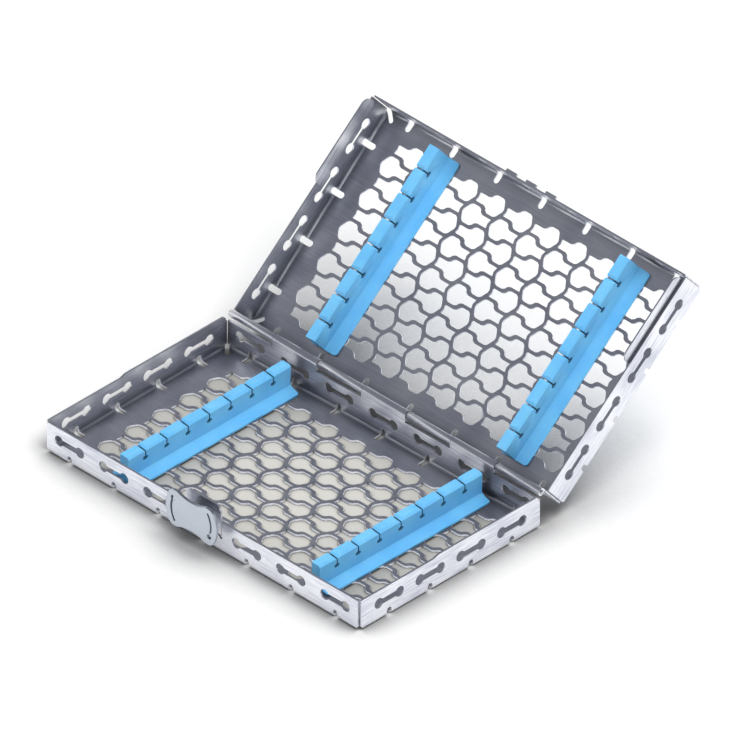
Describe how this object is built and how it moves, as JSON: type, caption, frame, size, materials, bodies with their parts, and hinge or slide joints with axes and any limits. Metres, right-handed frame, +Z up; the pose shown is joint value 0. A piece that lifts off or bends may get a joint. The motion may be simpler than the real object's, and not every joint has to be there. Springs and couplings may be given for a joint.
{
  "type": "dental instrument cassette",
  "caption": "Perforated stainless steel instrument cassette: shallow base and hinged lid, slotted silicone rails across both, and a quarter-turn clasp on a front tongue.",
  "frame": {"origin": "middle of the base's underside, between its outer walls and in the plane it stands on", "axes": "+X from left to right along the hinge, seen from the clasp; +Y from the clasp to the hinge; +Z up"},
  "size_m": [0.2, 0.2256, 0.093],
  "materials": {
    "stainless_steel": "brushed stainless steel sheet, electropolished after punching and bending",
    "stainless_steel_turned": "turned and pressed stainless steel",
    "silicone_blue": "satin moulded silicone, sky blue"
  },
  "bodies": {
    "base": {"base_tray": "stainless_steel", "hinge_pin": "stainless_steel_turned", "base_rail_left": "silicone_blue", "base_rail_right": "silicone_blue", "clasp_spacer": "stainless_steel_turned", "clasp_stop_pin": "stainless_steel_turned", "clasp_spring_washer": "stainless_steel_turned"},
    "lid": {"lid_tray": "stainless_steel", "lid_rail_left": "silicone_blue", "lid_rail_right": "silicone_blue"},
    "clasp": {"clasp_plate": "stainless_steel", "clasp_cam": "stainless_steel_turned", "clasp_pivot": "stainless_steel_turned", "clasp_washer": "stainless_steel_turned"}
  },
  "joints": [
    {"name": "lid_hinge", "type": "hinge", "parent": "base", "child": "lid", "pos_m": [0, 0.05908, 0.01802], "axis": [1, 0, 0], "range_deg": [0, 140]},
    {"name": "clasp_turn", "type": "hinge", "parent": "base", "child": "clasp", "pos_m": [0, -0.065, 0.0169], "axis": [0, 1, 0], "range_deg": [0, 90]}
  ]
}
